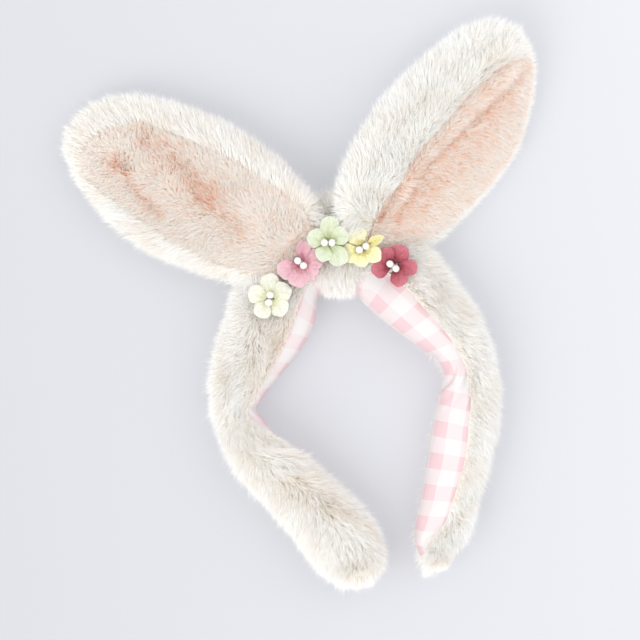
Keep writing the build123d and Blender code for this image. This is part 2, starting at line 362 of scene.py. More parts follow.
class Surface:
    """A grid of points. On a closed one the last column repeats the first. marks are UVs of its own
    for the bake."""

    def __init__(self, points, closed=False, flip=False, marks=None):
        self.points = points
        self.marks = marks
        self.closed = closed
        self.flip = flip
        self.rows, self.columns = points.shape[:2]
        self.along_way = unit(np.gradient(points, axis=0))
        around = np.gradient(points, axis=1)
        if closed:
            around[:, 0] = (points[:, 1] - points[:, -2]) / 2
            around[:, -1] = around[:, 0]
        self.around_way = unit(around)
        normals = np.cross(self.along_way, self.around_way)
        self.normals = unit(-normals if flip else normals)
        steps = np.linalg.norm(np.diff(points, axis=0), axis=2)
        self.along = np.vstack([np.zeros(self.columns), np.cumsum(steps, axis=0)])
        steps = np.linalg.norm(np.diff(points, axis=1), axis=2)
        self.around = np.hstack([np.zeros((self.rows, 1)), np.cumsum(steps, axis=1)])

    def moved(self, distance):
        """The same surface, further out along its normals."""
        return Surface(self.points + self.normals * distance, self.closed, self.flip)

    def part(self, first, last):
        """Some of its rows, both ends included."""
        return Surface(self.points[first:last + 1], self.closed, self.flip)

    def uv(self, places):
        """The bake's UV at rows and columns of the grid."""
        row, column = places[:, 0], places[:, 1]
        if self.marks is not None:
            return self.marks[row, column]
        return np.stack([column / (self.columns - 1), row / (self.rows - 1)], axis=1)

    def roots(self, count, rng, wanted=None):
        """Random places spread evenly over the cloth, or as thick as wanted says for each point."""
        points = self.points
        one = points[1:, 1:] - points[:-1, :-1]
        other = points[1:, :-1] - points[:-1, 1:]
        share = np.linalg.norm(np.cross(one, other), axis=2)
        if wanted is not None:
            corners = wanted[1:, 1:] + wanted[:-1, :-1] + wanted[1:, :-1] + wanted[:-1, 1:]
            share = share * corners / 4
        total = np.cumsum(share.ravel())
        picked = np.searchsorted(total, rng.uniform(0, total[-1], count))
        row, column = np.divmod(picked, self.columns - 1)
        return Roots(self, row, column, rng.random(count), rng.random(count))


class Roots:
    """Places on a surface where strands grow."""

    def __init__(self, surface, row, column, down, right):
        weights = ((1 - down) * (1 - right), down * (1 - right), (1 - down) * right, down * right)

        def at(values):
            corners = (
                values[row, column],
                values[row + 1, column],
                values[row, column + 1],
                values[row + 1, column + 1],
            )
            return sum(
                corner * (weight if corner.ndim == 1 else weight[:, None])
                for corner, weight in zip(corners, weights)
            )

        self.at = at
        self.point = at(surface.points)
        self.normal = unit(at(surface.normals))
        self.along_way = unit(at(surface.along_way))
        self.around_way = unit(at(surface.around_way))
        self.along = at(surface.along)
        self.around = at(surface.around)

    def only(self, chosen):
        """The roots that a mask picks."""
        picked = Roots.__new__(Roots)
        for name in ("point", "normal", "along_way", "around_way", "along", "around"):
            setattr(picked, name, getattr(self, name)[chosen])
        return picked


# ---- making objects --------------------------------------------------------------------
def make_object(name, points, faces, materials, uvs=None, smooth=True):
    """A mesh object from points in millimetres. uvs holds, by layer, a pair for each face corner."""
    mesh = bpy.data.meshes.new(name)
    mesh.from_pydata(np.asarray(points) * MM, [], faces)
    for layer, pairs in (uvs or {}).items():
        made = mesh.uv_layers.new(name=layer)
        made.data.foreach_set("uv", np.asarray(pairs, np.float32).ravel())
    if smooth:
        mesh.shade_smooth()
    for material in materials:
        mesh.materials.append(material)
    made = bpy.data.objects.new(name, mesh)
    bpy.context.scene.collection.objects.link(made)
    return made


def grid_faces(rows, columns, closed, flip):
    """Corners of each face of a grid, as points, and as places on the grid for its UVs."""
    row, column = (a.ravel() for a in np.mgrid[0:rows - 1, 0:columns - 1])
    corners = [(row, column), (row + 1, column), (row + 1, column + 1), (row, column + 1)]
    if flip:
        corners.reverse()
    width = columns - 1 if closed else columns
    faces = np.stack([r * width + (c % width if closed else c) for r, c in corners], axis=1)
    places = np.stack([np.stack([r, c], axis=1) for r, c in corners], axis=1)
    return faces, places.reshape(-1, 2)


def make_cloth(name, surface, materials, checks=None):
    """A surface as a mesh. checks is the size of a gingham check, for cloth that has them."""
    faces, places = grid_faces(surface.rows, surface.columns, surface.closed, surface.flip)
    points = surface.points[:, :-1] if surface.closed else surface.points
    uvs = {BAKE_UV: surface.uv(places)}
    if checks:
        row, column = places[:, 0], places[:, 1]
        middle = surface.around[:, -1:] / 2
        across = (surface.around - middle)[row, column] / checks
        along = surface.along.mean(axis=1)[row] / checks
        uvs[CLOTH_UV] = np.stack([across, along], axis=1)
    return make_object(name, points.reshape(-1, 3), faces, materials, uvs)


def join_grids(name, surfaces, materials):
    """Several separate surfaces as one mesh."""
    points, faces, pairs, total = [], [], [], 0
    for surface in surfaces:
        found, places = grid_faces(surface.rows, surface.columns, surface.closed, surface.flip)
        kept = surface.points[:, :-1] if surface.closed else surface.points
        points.append(kept.reshape(-1, 3))
        faces.append(found + total)
        pairs.append(surface.uv(places))
        total += len(points[-1])
    return make_object(
        name, np.vstack(points), np.vstack(faces), materials, {BAKE_UV: np.vstack(pairs)}
    )


def apply_modifiers(made):
    """Turns an object's modifiers into plain mesh."""
    evaluated = made.evaluated_get(bpy.context.evaluated_depsgraph_get())
    mesh = bpy.data.meshes.new_from_object(evaluated)
    made.modifiers.clear()
    made.data = mesh


# ---- pile ------------------------------------------------------------------------------
class Pile:
    """How a plush stands: lengths in millimetres, leans in degrees off the cloth's normal."""

    def __init__(self, length, root_lean, tip_lean, width, tuft, pull, stray):
        self.length = length
        self.root_lean = root_lean
        self.tip_lean = tip_lean
        self.width = width
        self.tuft = tuft          # distance between tufts
        self.pull = pull          # how far the tips gather into them, from 0 to 1
        self.stray = stray        # how far a tip wanders, as a share of its length


def nearest_tufts(along, around, size, seed):
    """From each place to the middle of its nearest tuft, on the cloth, and that tuft's own random
    tone, from -1 to 1."""
    key = np.random.default_rng(seed).uniform(1, 2, 4) * (12.9898, 78.233, 39.346, 11.135)
    best = np.full(len(along), np.inf)
    offset = np.zeros((len(along), 2))
    tone = np.zeros(len(along))
    cell = np.stack([np.floor(along / size), np.floor(around / size)], axis=1)
    for step in [(i, j) for i in (-1, 0, 1) for j in (-1, 0, 1)]:
        near = cell + step
        mixed = np.sin(near @ np.array([key[:2], key[2:]]).T) * 43758.5453
        mixed = mixed - np.floor(mixed)
        middle = (near + mixed) * size
        away = middle - np.stack([along, around], axis=1)
        distance = (away ** 2).sum(axis=1)
        closer = distance < best
        best = np.where(closer, distance, best)
        offset[closer] = away[closer]
        tone[closer] = 2 * mixed[closer].sum(axis=1) % 2 - 1
    return offset, tone


def grow(name, roots, pile, comb, shade, mottle, material, seed, reach=1.0, upright=0.0):
    """Tapered flat strands on roots. comb is the way they lean, in space, shade from 0 to 1 picks
    their colour, and mottle is how much it differs from tuft to tuft. reach scales their length,
    and upright, from 0 to 1, stands them up."""
    rng = np.random.default_rng(seed)
    count = len(roots.point)
    size = rng.normal(1, 0.16, count).clip(0.5, 1.5)
    length = (pile.length * size * reach)[:, None]
    flat = unit(comb - (comb * roots.normal).sum(axis=1)[:, None] * roots.normal)

    def lean(angle):
        angles = np.radians(angle * (1 - upright) * rng.normal(1, 0.12, count))[:, None]
        return roots.normal * np.cos(angles) + flat * np.sin(angles)

    tuft, tone = nearest_tufts(roots.along, roots.around, pile.tuft, seed)
    tuft = tuft * pile.pull
    gathered = roots.along_way * tuft[:, :1] + roots.around_way * tuft[:, 1:]
    wander = rng.normal(0, pile.stray, (count, 3)) * length
    middle = roots.point + lean(pile.root_lean) * length / 2 + gathered * 0.4 + wander * 0.3
    tip = middle + lean(pile.tip_lean) * length / 2 + gathered * 0.6 + wander * 0.7
    way = unit(tip - roots.point)
    side = unit(np.cross(way, roots.normal + rng.normal(0, 0.6, (count, 3))))
    half = side * (pile.width / STRANDS ** 0.5 / 2 * rng.uniform(0.8, 1.2, count))[:, None]
    points = np.stack(
        [roots.point - half, roots.point + half, middle - half * 0.8, middle + half * 0.8, tip],
        axis=1,
    )
    points[..., 2] = np.maximum(points[..., 2], FLOOR_GAP)
    first = np.arange(count)[:, None, None] * 5
    faces = (first + np.array([[0, 1, 3], [0, 3, 2], [2, 3, 4]])).reshape(-1, 3)

    band = 0.012
    across = shade + mottle * tone + rng.normal(0, 0.08, count)
    across = np.clip(across, 0.02, 0.98)[:, None]
    corner_side = np.array([-1, 1, 1, -1, 1, -1, -1, 1, 0]) * band
    corner_height = np.array([0.01, 0.01, 0.5, 0.01, 0.5, 0.5, 0.5, 0.5, 0.99])
    pairs = np.stack([across + corner_side, np.broadcast_to(corner_height, (count, 9))], axis=2)
    return make_object(name, points.reshape(-1, 3), faces, [material], {BAKE_UV: pairs})


# ---- colours ---------------------------------------------------------------------------
THREADS_PER_CHECK = 22
# Each colour list runs from root to tip: the darker, warmer roots are painted shade deep in the pile.
CREAM = [(255, 254, 251), (255, 255, 253), (255, 255, 255)]
CREAM_DEEP = [(241, 226, 210), (248, 240, 230), (253, 249, 243)]
PINK = [(255, 249, 242), (255, 252, 248), (255, 254, 252)]
PINK_DEEP = [(252, 205, 175), (254, 227, 207), (255, 242, 232)]

cream_pile = pile_material("cream_pile", CREAM, CREAM_DEEP)
pink_pile = pile_material("pink_pile", PINK, PINK_DEEP)
cream_knit = knit_material("cream_knit", (252, 248, 241), (246, 239, 229))
pink_knit = knit_material("pink_knit", (246, 218, 204), (238, 198, 180))
gingham = gingham_material()
foam = grained_material("foam", (240, 234, 214), (222, 214, 190), 0.95, 700, specular=0.1)
wadding = grained_material("polyester_wadding", (246, 246, 244), (230, 230, 228), 0.95, 400, specular=0.1)
spring_plastic = grained_material("spring_plastic", (236, 236, 232), (222, 222, 218), 0.4, 300)
tip_plastic = grained_material("tip_plastic", (246, 246, 244), (232, 232, 230), 0.45, 500)
steel = grained_material("steel_wire", (176, 176, 178), (140, 140, 144), 0.3, 900, metallic=1.0)
pearl = pearl_material()
thread = grained_material("waxed_thread", (240, 236, 214), (214, 206, 176), 0.6, 1500)

CREAM_FUR = Pile(length=7.4, root_lean=20, tip_lean=52, width=0.28, tuft=2.7, pull=0.64, stray=0.17)
EAR_FUR = Pile(length=8.2, root_lean=24, tip_lean=58, width=0.28, tuft=2.2, pull=0.4, stray=0.11)
PINK_PILE = Pile(length=4.4, root_lean=14, tip_lean=38, width=0.26, tuft=1.3, pull=0.7, stray=0.15)

GINGHAM_CHECK = 8.8


# ---- sleeves ---------------------------------------------------------------------------
# Each station: the cloth's nearest point to the head (X, Y), its furthest point (X, Y), its lowest
# and highest Z, and where the lining starts and ends round it: degrees from the point nearest the
# head, up and over being positive.
LEFT_SLEEVE = [
    (-13.0, 63.0, -13.0, 99.0, 3.0, 29.0, -70.0, 56.0),
    (-17.6, 55.0, -37.0, 93.0, 3.0, 29.5, -70.0, 64.0),
    (-18.7, 44.0, -55.0, 69.0, 3.0, 30.0, -70.0, 69.0),
    (-24.5, 31.0, -64.0, 41.0, 3.0, 30.0, -70.0, 66.0),
    (-37.5, 14.0, -71.0, 17.0, 3.0, 29.5, -70.0, 60.0),
    (-47.5, 1.5, -71.5, 2.0, 3.0, 28.5, -72.0, 60.0),
    (-51.0, -5.5, -70.5, -8.0, 3.0, 27.5, -75.0, 70.0),
    (-46.5, -12.0, -66.0, -21.0, 3.0, 28.5, -80.0, 62.0),
    (-39.0, -21.5, -56.5, -39.0, 3.0, 29.5, -85.0, 30.0),
    (-23.5, -39.5, -39.5, -57.5, 3.0, 29.5, -88.0, -22.0),
    (-6.0, -55.0, -26.5, -72.5, 3.0, 29.5, -88.0, -25.0),
    (7.5, -69.0, -17.0, -86.0, 3.0, 29.0, -88.0, -25.0),
    (12.5, -80.0, -9.0, -94.5, 4.0, 28.0, -85.0, -28.0),
    (14.0, -88.0, -3.5, -98.0, 4.5, 28.5, -80.0, -30.0),
    (12.0, -93.0, 0.5, -98.6, 5.6, 27.8, -70.0, -35.0),
    (7.4, -97.6, 6.6, -98.0, 15.3, 15.7, -65.0, -40.0),
]
RIGHT_SLEEVE = [
    (1.0, 63.0, 1.0, 99.0, 3.0, 29.0, -60.0, 40.0),
    (6.0, 54.5, 25.0, 92.0, 3.0, 29.5, -60.0, 84.0),
    (14.0, 46.5, 42.0, 77.0, 3.0, 30.0, -60.0, 92.0),
    (25.0, 38.0, 54.5, 60.5, 3.0, 30.0, -60.0, 92.0),
    (38.0, 28.5, 66.0, 43.5, 3.0, 30.0, -60.0, 92.0),
    (49.0, 20.5, 73.5, 25.0, 3.0, 29.0, -60.0, 90.0),
    (51.6, 13.0, 76.0, 11.0, 3.0, 28.0, -62.0, 92.0),
    (49.5, 3.5, 77.0, -3.0, 3.0, 28.5, -62.0, 98.0),
    (46.0, -10.0, 75.5, -16.0, 3.0, 29.5, -60.0, 102.0),
    (43.0, -30.0, 71.5, -34.0, 3.0, 29.5, -60.0, 108.0),
    (39.5, -50.0, 66.0, -52.0, 3.0, 29.5, -60.0, 106.0),
    (36.2, -66.0, 62.5, -67.0, 3.0, 29.0, -60.0, 98.0),
    (35.3, -76.0, 57.5, -78.0, 4.0, 28.8, -60.0, 80.0),
    (37.4, -83.5, 55.0, -84.5, 4.5, 28.8, -60.0, 74.0),
    (40.8, -89.9, 51.6, -90.3, 5.2, 28.8, -60.0, 60.0),
    (46.2, -91.7, 46.6, -91.7, 15.3, 15.7, -60.0, 50.0),
]
SQUARENESS = 2.5          # of a sleeve's section: 2 is an ellipse


def sleeve_points(stations, rows, turns):
    """Points of a sleeve at angles round it, which turns gives for each row."""
    points = np.zeros((rows, turns.shape[1], 3))
    shape = through(stations, np.linspace(0, len(stations) - 1, rows))
    near, far = shape[:, 0:2], shape[:, 2:4]
    low, high = shape[:, 4:5], shape[:, 5:6]
    across = np.sign(np.cos(turns)) * np.abs(np.cos(turns)) ** (2 / SQUARENESS)
    up = np.sign(np.sin(turns)) * np.abs(np.sin(turns)) ** (2 / SQUARENESS)
    part = (1 - across) / 2
    points[..., 0] = near[:, :1] + (far - near)[:, :1] * part
    points[..., 1] = near[:, 1:] + (far - near)[:, 1:] * part
    points[..., 2] = (low + high) / 2 + (high - low) / 2 * up
    return points


def sleeve_turns(stations, rows, start, end):
    """Angles round a sleeve, in radians. start and end give the two edges from the lining's."""
    shape = np.radians(through(stations, np.linspace(0, len(stations) - 1, rows))[:, 6:8])
    first, last = start(shape), end(shape)
    return first[:, None] + (last - first)[:, None] * np.linspace(0, 1, SLEEVE_COLUMNS)


SLEEVE_ROWS = 170
SLEEVE_COLUMNS = 64
SEAM = radians(4)         # the lining tucks this far under the fur


def make_sleeve(side, stations, seed, crease, wrinkles):
    """Foam core, fur cover and gingham lining of one half of the band, from the wrap to its end.
    crease says where it bends into its arm."""
    arm = f"{side}_arm"
    bend = ("crown", arm, *[(x * MM, y * MM, 0) for x, y in crease])
    rows = SLEEVE_ROWS
    flip = side == "left"

    turns = sleeve_turns(stations, rows, lambda e: e[:, 1], lambda e: e[:, 0] + 2 * pi)
    fur_side = Surface(sleeve_points(stations, rows, turns), flip=flip)
    turns = sleeve_turns(stations, rows, lambda e: e[:, 0] - SEAM, lambda e: e[:, 1] + SEAM)
    lining_side = Surface(sleeve_points(stations, rows, turns), flip=flip).moved(-0.4)
    pucker = wrinkles(lining_side)
    lining_side = Surface(lining_side.points + lining_side.normals * pucker[..., None], flip=flip)

    backing = make_cloth(f"{side}_sleeve_cloth", fur_side, [cream_knit])
    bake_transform(backing)
    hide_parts(f"{side}_shoulder_fur", f"{side}_arm_fur")

    lining = make_cloth(f"{side}_sleeve_lining", lining_side, [gingham], checks=GINGHAM_CHECK)
    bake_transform(lining)
    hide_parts(f"{side}_shoulder_lining", f"{side}_arm_lining")

    turns = np.broadcast_to(np.linspace(0, 2 * pi, SLEEVE_COLUMNS), (rows, SLEEVE_COLUMNS))
    core = Surface(sleeve_points(stations, rows, turns), closed=True, flip=flip).moved(-2.5)
    stuffing = make_cloth(f"{side}_sleeve_foam", core, [foam])
    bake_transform(stuffing)
    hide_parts(f"{side}_arm_padding")

    grow_sleeve(side, fur_side, seed, bend, crease)


def grow_sleeve(side, surface, seed, bend, crease):
    """The sleeve's pile, in three lengths: on the crown, over the crease and on the arm."""
    rng = np.random.default_rng(seed)
    roots = surface.roots(int(SLEEVE_STRANDS * STRANDS), rng)
    swirl = waves(roots.along, roots.around, 28, seed + 1) * 0.4
    edge = surface.around[:, -1].mean()
    outward = between(edge * 0.2, edge * 0.6, roots.around)
    near_seam = 1 - between(0, 12, roots.around)
    hidden = between(*HIDDEN_LINING[side], roots.point[:, 1])
    seam_lean = near_seam * (0.5 - 1.3 * hidden)
    comb = roots.along_way * 0.8
    comb = comb + roots.around_way * (outward * 0.8 + seam_lean + swirl)[:, None]
    reach = 1 - 0.45 * (1 - between(0, 8, roots.around)) * (1 - hidden)
    length = surface.along[-1].mean()
    reach = reach * (1 - END_TRIM[side] * between(length - 16, length - 6, roots.along))
    shade = 0.18 + 0.12 * waves(roots.along, roots.around, 30, seed + 2)
    # painted beige: painted shade on the left shoulder, beige tone elsewhere
    for x, y, width, amount in BEIGE_AND_SHADE[side]:
        shade = shade + amount * mound(np.hypot(roots.point[:, 0] - x, roots.point[:, 1] - y), width)
    upright = between(0.2, 0.9, waves(roots.along, roots.around, 22, seed + 3)) * 0.45
    low, high = crease[1][1], crease[0][1]
    height = roots.point[:, 1]
    stretches = {
        f"{side}_shoulder_pile": (height > high, "crown", None),
        f"{side}_crease_pile": ((height <= high) & (height >= low), None, bend),
        f"{side}_arm_pile": (height < low, f"{side}_arm", None),
    }
    for name, (chosen, body, across) in stretches.items():
        made = grow(
            name, roots.only(chosen), CREAM_FUR, comb[chosen], shade[chosen], 0.2, cream_pile,
            seed + len(name), reach=reach[chosen], upright=upright[chosen],
        )
        if body:
            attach(made, body)
        else:
            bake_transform(made)


SLEEVE_STRANDS = 128000
END_TRIM = {"left": 0.1, "right": 0.5}    # how much shorter the fur is at the end of an arm
HIDDEN_LINING = {"left": (-26.0, -36.0), "right": (-78.0, -84.0)}  # Y where fur starts to cover it
BEIGE_AND_SHADE = {                 # where the fur is painted beige, X, Y, width and amount: painted shade where the pile parts on the left shoulder, beige tone elsewhere
    "left": [(-36.0, 34.0, 13.0, 0.45), (-44.0, 12.0, 10.0, 0.25), (-22.0, -48.0, 22.0, 0.2)],
    "right": [(50.0, 55.0, 14.0, 0.1)],
}


# ---- the wrap at the crown -------------------------------------------------------------
WRAP_MIDDLE = (84.0, 17.5)                   # Y and Z
WRAP_HALF = (22.0, 15.0)
WRAP_RINGS = [(-15.5, 5.0), (-15.2, 2.0), (-13.0, 0.4), (-6.5, 0.0), (0.0, 0.4), (2.0, 2.0), (2.3, 5.0)]
WRAP_STRANDS = 30000


def make_wrap():
    """Fur band round the crown, over the ends of both sleeves."""
    rings = through(WRAP_RINGS, np.linspace(0, len(WRAP_RINGS) - 1, 30))
    turns = np.linspace(0, 2 * pi, 72)
    x, inset = rings[:, :1], rings[:, 1:]
    across = np.sign(np.cos(turns)) * np.abs(np.cos(turns)) ** (2 / SQUARENESS)
    up = np.sign(np.sin(turns)) * np.abs(np.sin(turns)) ** (2 / SQUARENESS)
    points = np.zeros((len(rings), len(turns), 3))
    points[..., 0] = x
    points[..., 1] = WRAP_MIDDLE[0] - (WRAP_HALF[0] - inset) * across
    points[..., 2] = WRAP_MIDDLE[1] + (WRAP_HALF[1] - inset) * up
    surface = Surface(points, closed=True)
    cloth = make_cloth("crown_wrap_cloth", surface, [cream_knit])
    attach(cloth, "crown")
    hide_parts("crown_wrap", "crown_padding")

    seed = 50
    roots = surface.roots(int(WRAP_STRANDS * STRANDS), np.random.default_rng(seed))
    sway = waves(roots.along, roots.around, 18, seed)
    comb = roots.along_way * (0.5 * sway)[:, None] - roots.around_way
    shade = 0.2 + 0.15 * waves(roots.along, roots.around, 14, seed + 1)
    past = between(WRAP_MIDDLE[0] + 10, WRAP_MIDDLE[0] + WRAP_HALF[0], roots.point[:, 1])
    pile = grow(
        "crown_wrap_pile", roots, CREAM_FUR, comb, shade, 0.2, cream_pile, seed,
        reach=0.85 + 0.45 * past, upright=0.8 * past,
    )
    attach(pile, "crown")


# ---- ears ------------------------------------------------------------------------------
# Along the crease lines the cream fur is painted darker, as painted shade in the creases.
# In the ear's own plane: distance from its fold towards the tip, and distance to its left.
# outline: along, reach to the right, reach to the left, lowest and highest cloth.
# panel: along, and its right and left edges. Lines are paths with a width and a depth or strength. The pink's
# lines paint it darker, partly for brushing of the pile and partly as painted shade in its folds and grooves.
# right_rim scales the length of the pile on the right edge.
WIRE_DEPTH = 1.5          # the wire, and so the bend's axis, lies this far below the ear's plane
PART_AT = 27.0            # the base and the blade of an ear meet here
EARS = {
    "left": {
        "slant": 0.2,
        "outline": [
            (-15.6, -17.5, 17.5, 14.4, 14.4),
            (-13.0, -20.0, 20.0, 12.5, 15.8),
            (-4.0, -25.0, 24.0, 7.5, 14.8),
            (7.0, -29.0, 26.0, 0.0, 13.0),
            (21.0, -34.5, 28.5, -6.0, 9.5),
            (40.0, -38.0, 31.5, -8.0, 6.5),
            (62.0, -38.5, 33.0, -8.0, 5.5),
            (82.0, -36.0, 30.0, -8.0, 5.0),
            (99.0, -32.0, 24.0, -7.5, 5.0),
            (111.0, -26.0, 18.0, -6.0, 4.5),
            (119.0, -18.5, 12.0, -4.5, 3.5),
            (124.0, -11.0, 7.5, -3.0, 2.0),
            (126.0, -4.0, 3.0, -1.2, 0.6),
            (126.8, -0.5, 0.5, -0.3, -0.3),
        ],
        "panel": [
            (-13.5, -17.0, 17.0),
            (10.0, -23.5, 22.5),
            (30.0, -25.5, 24.5),
            (54.0, -27.0, 24.5),
            (75.0, -24.5, 23.0),
            (95.0, -22.0, 20.0),
            (107.0, -14.0, 16.5),
            (114.0, -4.0, 12.0),
            (116.0, 4.0, 8.0),
        ],
        "relief": [
            ([(100, -2), (60, 5), (25, 12)], 7.0, 1.0),
            ([(86, -14), (50, -5), (12, 4)], 9.0, -1.0),
            ([(98, 5), (68, 14)], 5.0, -0.8),
        ],
        # darker pink for brushing, and painted shade along the grooves that these lines follow
        "brushed_and_shade": [
            ([(86, -15), (66, -10), (44, -4)], 8.0, 0.7),
            ([(50, -6), (30, 0), (13, 5)], 5.5, 0.8),
            ([(100, 3), (84, 9), (62, 15)], 3.4, 0.85),
        ],
        "creases": [],
        "right_rim": 1.0,
        "cream_tone": 0.25,
        "pink_tone": 0.03,
        "seed": 100,
    },
    "right": {
        "slant": 0.0,
        "outline": [
            (-12.6, -12.5, 16.5, 6.4, 6.4),
            (-10.0, -15.5, 19.0, 5.0, 9.5),
            (-3.0, -20.0, 24.0, 2.0, 10.5),
            (8.0, -26.0, 28.5, -4.0, 10.5),
            (22.0, -33.5, 31.5, -8.0, 9.0),
            (40.0, -38.5, 33.0, -9.0, 8.0),
            (60.0, -41.0, 33.0, -9.0, 7.5),
            (80.0, -40.5, 29.5, -8.5, 7.0),
            (97.0, -34.5, 25.5, -8.0, 6.5),
            (111.0, -27.0, 20.5, -6.5, 5.5),
            (120.0, -20.5, 14.0, -5.0, 4.0),
            (126.0, -13.0, 7.5, -3.0, 2.0),
            (128.0, -7.0, 1.0, -1.2, 0.6),
            (128.8, -1.0, 0.2, -0.3, -0.3),
        ],
        "panel": [
            (-11.0, -10.0, 3.0),
            (10.0, -24.0, 8.5),
            (26.0, -32.0, 9.8),
            (44.0, -36.5, 9.0),
            (64.0, -39.0, 7.5),
            (84.0, -37.5, 4.8),
            (103.0, -29.5, 0.5),
            (115.0, -22.5, -6.5),
            (122.0, -17.0, -12.5),
        ],
        "relief": [
            ([(118, 0), (99, 8.5), (70, 12.5), (45, 14.5), (8, 12)], 5.0, 2.2),
            ([(110, 17), (95, 21), (70, 25), (30, 26)], 5.0, 1.6),
            ([(127, 5), (99, 15.3), (69.5, 19), (50, 20.5), (20, 20)], 2.4, -1.4),
            ([(124, -13), (104.6, 1), (84.7, 4.6), (64, 7.4), (43.7, 8.8), (24, 9.6), (-2, 4)], 2.4, -1.6),
            ([(112, -9), (84, -1), (44, 4.5), (20, 4)], 3.0, 1.4),
            ([(114, -15.5), (80, -7.5), (42.7, 1.3), (12.7, -0.8)], 2.4, -2.0),
        ],
        # darker pink for brushing, and painted shade along the pink fold and along the groove at the pink edge
        "brushed_and_shade": [
            ([(114, -15.5), (80, -7.5), (42.7, 1.3), (12.7, -0.8), (0, -6)], 1.8, 0.85),
            ([(92, -14), (60, -12), (32, -8), (14, -7)], 9.0, 0.6),
            ([(115, -7), (103, 0), (84, 4), (64, 7), (44, 8.4), (26, 9), (0, 4)], 1.3, 1.3),
        ],
        # painted shade: the cream fur is painted darker along these crease lines
        "creases": [
            ([(127, 5), (99, 15.3), (69.5, 19), (50, 20.5)], 1.6, 0.4),
            ([(116, -5), (104.6, 1.5), (84.7, 5.2), (64, 8), (43.7, 9.4), (24, 10), (2, 7)], 1.4, 0.35),
        ],
        "right_rim": 0.7,
        "cream_tone": 0.06,
        "pink_tone": 0.2,
        "seed": 200,
    },
}
EAR_ROWS = 120
EAR_COLUMNS = 96
EAR_STRANDS = 110000
PANEL_STRANDS = 85000


def near_line(along, left, line, width):
    """1 on a path over the ear, falling to 0 away from it."""
    nearest = np.full(np.shape(along), np.inf)
    for (s0, t0), (s1, t1) in zip(line, line[1:]):
        run = (s1 - s0, t1 - t0)
        part = ((along - s0) * run[0] + (left - t0) * run[1]) / (run[0] ** 2 + run[1] ** 2)
        part = np.clip(part, 0, 1)
        away = np.hypot(along - s0 - part * run[0], left - t0 - part * run[1])
        nearest = np.minimum(nearest, away)
    return mound(nearest, width)


def drawn(along, left, lines):
    """Several lines together."""
    return sum((near_line(along, left, path, width) * amount for path, width, amount in lines), 0.0)


class Ear:
    """One ear's shape, in the plane that its two joints give."""

    def __init__(self, side, look):
        self.side = side
        self.look = look
        joints = {joint["name"]: joint for joint in frame["joints"]}
        fold = joints[f"{side}_ear_fold"]
        bend = joints[f"{side}_ear_bend"]
        self.origin = np.array(fold["pos_m"]) / MM
        self.left = -unit(np.array(fold["axis"], float))
        reach = np.array(bend["pos_m"]) / MM - self.origin
        up = unit(np.cross(reach, self.left))
        self.forward = unit(reach + up * WIRE_DEPTH)
        self.up = np.cross(self.forward, self.left)
        self.places = np.linspace(0, len(look["outline"]) - 1, EAR_ROWS)
        self.shape = through(look["outline"], self.places)

    def world(self, along, left, up):
        """Points of the ear's own plane, in the CAD's frame."""
        slant = self.look["slant"] * (1 - between(-5, 38, along))
        along = along + slant * left
        parts = [np.asarray(value)[..., None] for value in (along, left, up)]
        return self.origin + parts[0] * self.forward + parts[1] * self.left + parts[2] * self.up

    def shape_at(self, along):
        """Reaches and heights at distances from the fold."""
        return [np.interp(along, self.shape[:, 0], self.shape[:, i]) for i in (1, 2, 3, 4)]

    def front(self, along, left):
        """Height of the front cloth."""
        right_reach, left_reach, low, high = self.shape_at(along)
        part = np.clip(np.where(left > 0, left / left_reach, left / right_reach), 0, 1)
        bulge = (1 - part ** 2) ** 0.4
        edge = (low + high) / 2
        relief = drawn(along, left, self.look["relief"]) * between(0, 0.6, 1 - part)
        return edge + (high - edge) * bulge + relief * between(4, 22, along)

    def body(self):
        """The whole ear as a closed form, from its right edge over the front, and what each point
        of it is: distance along, distance to the left, and 1 on the front."""
        turns = np.linspace(0, 2 * pi, EAR_COLUMNS)[None, :]
        along, right_reach, left_reach, low, high = (self.shape[:, i:i + 1] for i in range(5))
        part = -np.cos(turns)
        left = np.where(part > 0, part * left_reach, -part * right_reach)
        along = np.broadcast_to(along, left.shape)
        edge = (low + high) / 2
        back = edge - (edge - low) * np.abs(np.sin(turns)) ** 0.8
        on_front = np.broadcast_to(np.sin(turns) > 0, left.shape)
        height = np.where(on_front, self.front(along, left), back)
        return Surface(self.world(along, left, height), closed=True), along, left, on_front

    def panel(self, lift):
        """The pink cloth on the front."""
        stations = self.look["panel"]
        edges = through(stations, np.linspace(0, len(stations) - 1, EAR_ROWS))
        across = np.linspace(0, 1, EAR_COLUMNS // 2)[None, :]
        left = edges[:, 1:2] + (edges[:, 2:3] - edges[:, 1:2]) * across
        along = np.broadcast_to(edges[:, :1], left.shape)
        return Surface(self.world(along, left, self.front(along, left) + lift)), along, left

    def in_panel(self, along, left, margin=0.0):
        edges = np.array(self.look["panel"])
        right_edge = np.interp(along, edges[:, 0], edges[:, 1])
        left_edge = np.interp(along, edges[:, 0], edges[:, 2])
        inside = (left > right_edge - margin) & (left < left_edge + margin)
        return inside & (along < edges[-1, 0] + margin)

    def bend(self, obj, base):
        """Fixes the piece in place, in the CAD's frame. base is not used."""
        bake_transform(obj)


